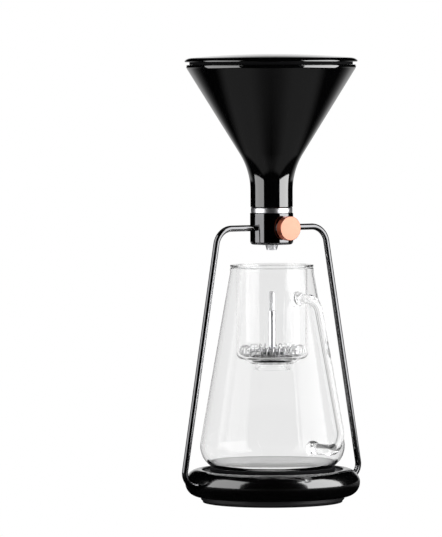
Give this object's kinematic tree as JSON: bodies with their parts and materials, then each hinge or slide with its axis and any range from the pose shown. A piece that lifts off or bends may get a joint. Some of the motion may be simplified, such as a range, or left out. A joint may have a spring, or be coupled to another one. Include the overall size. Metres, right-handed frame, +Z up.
{
  "type": "cold brew coffee maker",
  "caption": "Drip and cold brew coffee maker: lidded funnel with a knob valve on a rod stand, over a glass carafe that holds a drip chamber with a steel filter.",
  "frame": {"origin": "middle of the flat underside that stands on the table, below the funnel's axis", "axes": "+Z up along the funnel's axis, X through the two rods, the knob and the carafe's handle towards -Y"},
  "size_m": [0.181, 0.1785, 0.3792],
  "materials": {
    "black_gloss": "deep glossy black",
    "black_steel": "black-coated steel",
    "black_chrome": "black chrome, mirror bright",
    "polished_steel": "polished steel",
    "satin_steel": "satin steel",
    "copper": "satin copper",
    "clear_glass": "clear borosilicate glass",
    "dark_pad": "matt dark silicone",
    "dark_platform": "dark satin plastic",
    "dark_seal": "dark silicone",
    "clear_seal": "translucent silicone",
    "aluminium": "machined aluminium",
    "board_green": "solder-masked board",
    "battery_wrap": "foil wrap"
  },
  "bodies": {
    "stand": {"foot_mat": "dark_pad", "bottom_plate": "black_steel", "base_screws": "satin_steel", "base_shell": "black_gloss", "scale_platform": "dark_platform", "platform_pad": "dark_pad", "load_cell": "aluminium", "cell_spacers": "aluminium", "cell_screws": "satin_steel", "circuit_board": "board_green", "board_standoffs": "aluminium", "battery": "battery_wrap", "charge_socket": "satin_steel", "button_switch": "dark_platform", "rod_clamps": "satin_steel", "clamp_screws": "satin_steel", "left_rod": "black_chrome", "right_rod": "black_chrome", "valve_body": "black_chrome", "rod_screws": "satin_steel", "drip_nozzle": "polished_steel", "gland_nut": "black_chrome"},
    "valve": {"valve_plug": "polished_steel", "plug_rings": "dark_seal", "valve_knob": "copper", "knob_screw": "satin_steel"},
    "funnel_unit": {"coupling_collar": "polished_steel", "neck_seal": "dark_seal", "funnel": "black_gloss"},
    "lid_unit": {"lid": "black_gloss", "lid_seal": "dark_seal"},
    "carafe_unit": {"carafe": "clear_glass", "carafe_handle": "clear_glass"},
    "chamber_unit": {"drip_chamber": "clear_glass", "chamber_seat_ring": "clear_seal"},
    "filter_unit": {"filter_seal": "dark_seal", "filter_mesh": "satin_steel", "filter_hub": "satin_steel", "filter_disc": "satin_steel", "filter_coil": "polished_steel", "filter_rod": "polished_steel", "filter_grip": "satin_steel", "filter_washer": "satin_steel", "filter_nut": "satin_steel"},
    "button_unit": {"power_button": "dark_platform"}
  },
  "joints": [
    {"name": "valve_turn", "type": "hinge", "parent": "stand", "child": "valve", "pos_m": [0, 0, 0.2325], "axis": [0, 1, 0], "range_deg": [0, 90]},
    {"name": "funnel_lift", "type": "slide", "parent": "stand", "child": "funnel_unit", "axis": [0, 0, 1], "range_m": [0, 0.03]},
    {"name": "lid_lift", "type": "slide", "parent": "funnel_unit", "child": "lid_unit", "axis": [0, 0, 1], "range_m": [0, 0.05]},
    {"name": "carafe_slide", "type": "slide", "parent": "stand", "child": "carafe_unit", "axis": [0, -1, 0], "range_m": [0, 0.15]},
    {"name": "chamber_lift", "type": "slide", "parent": "carafe_unit", "child": "chamber_unit", "axis": [0, 0, 1], "range_m": [0, 0.009]},
    {"name": "filter_lift", "type": "slide", "parent": "chamber_unit", "child": "filter_unit", "axis": [0, 0, 1], "range_m": [0, 0.024]},
    {"name": "button_press", "type": "slide", "parent": "stand", "child": "button_unit", "axis": [0, -1, 0], "range_m": [0, 0.0006], "stiffness_N_per_m": 400, "springref_m": -0.0006}
  ]
}
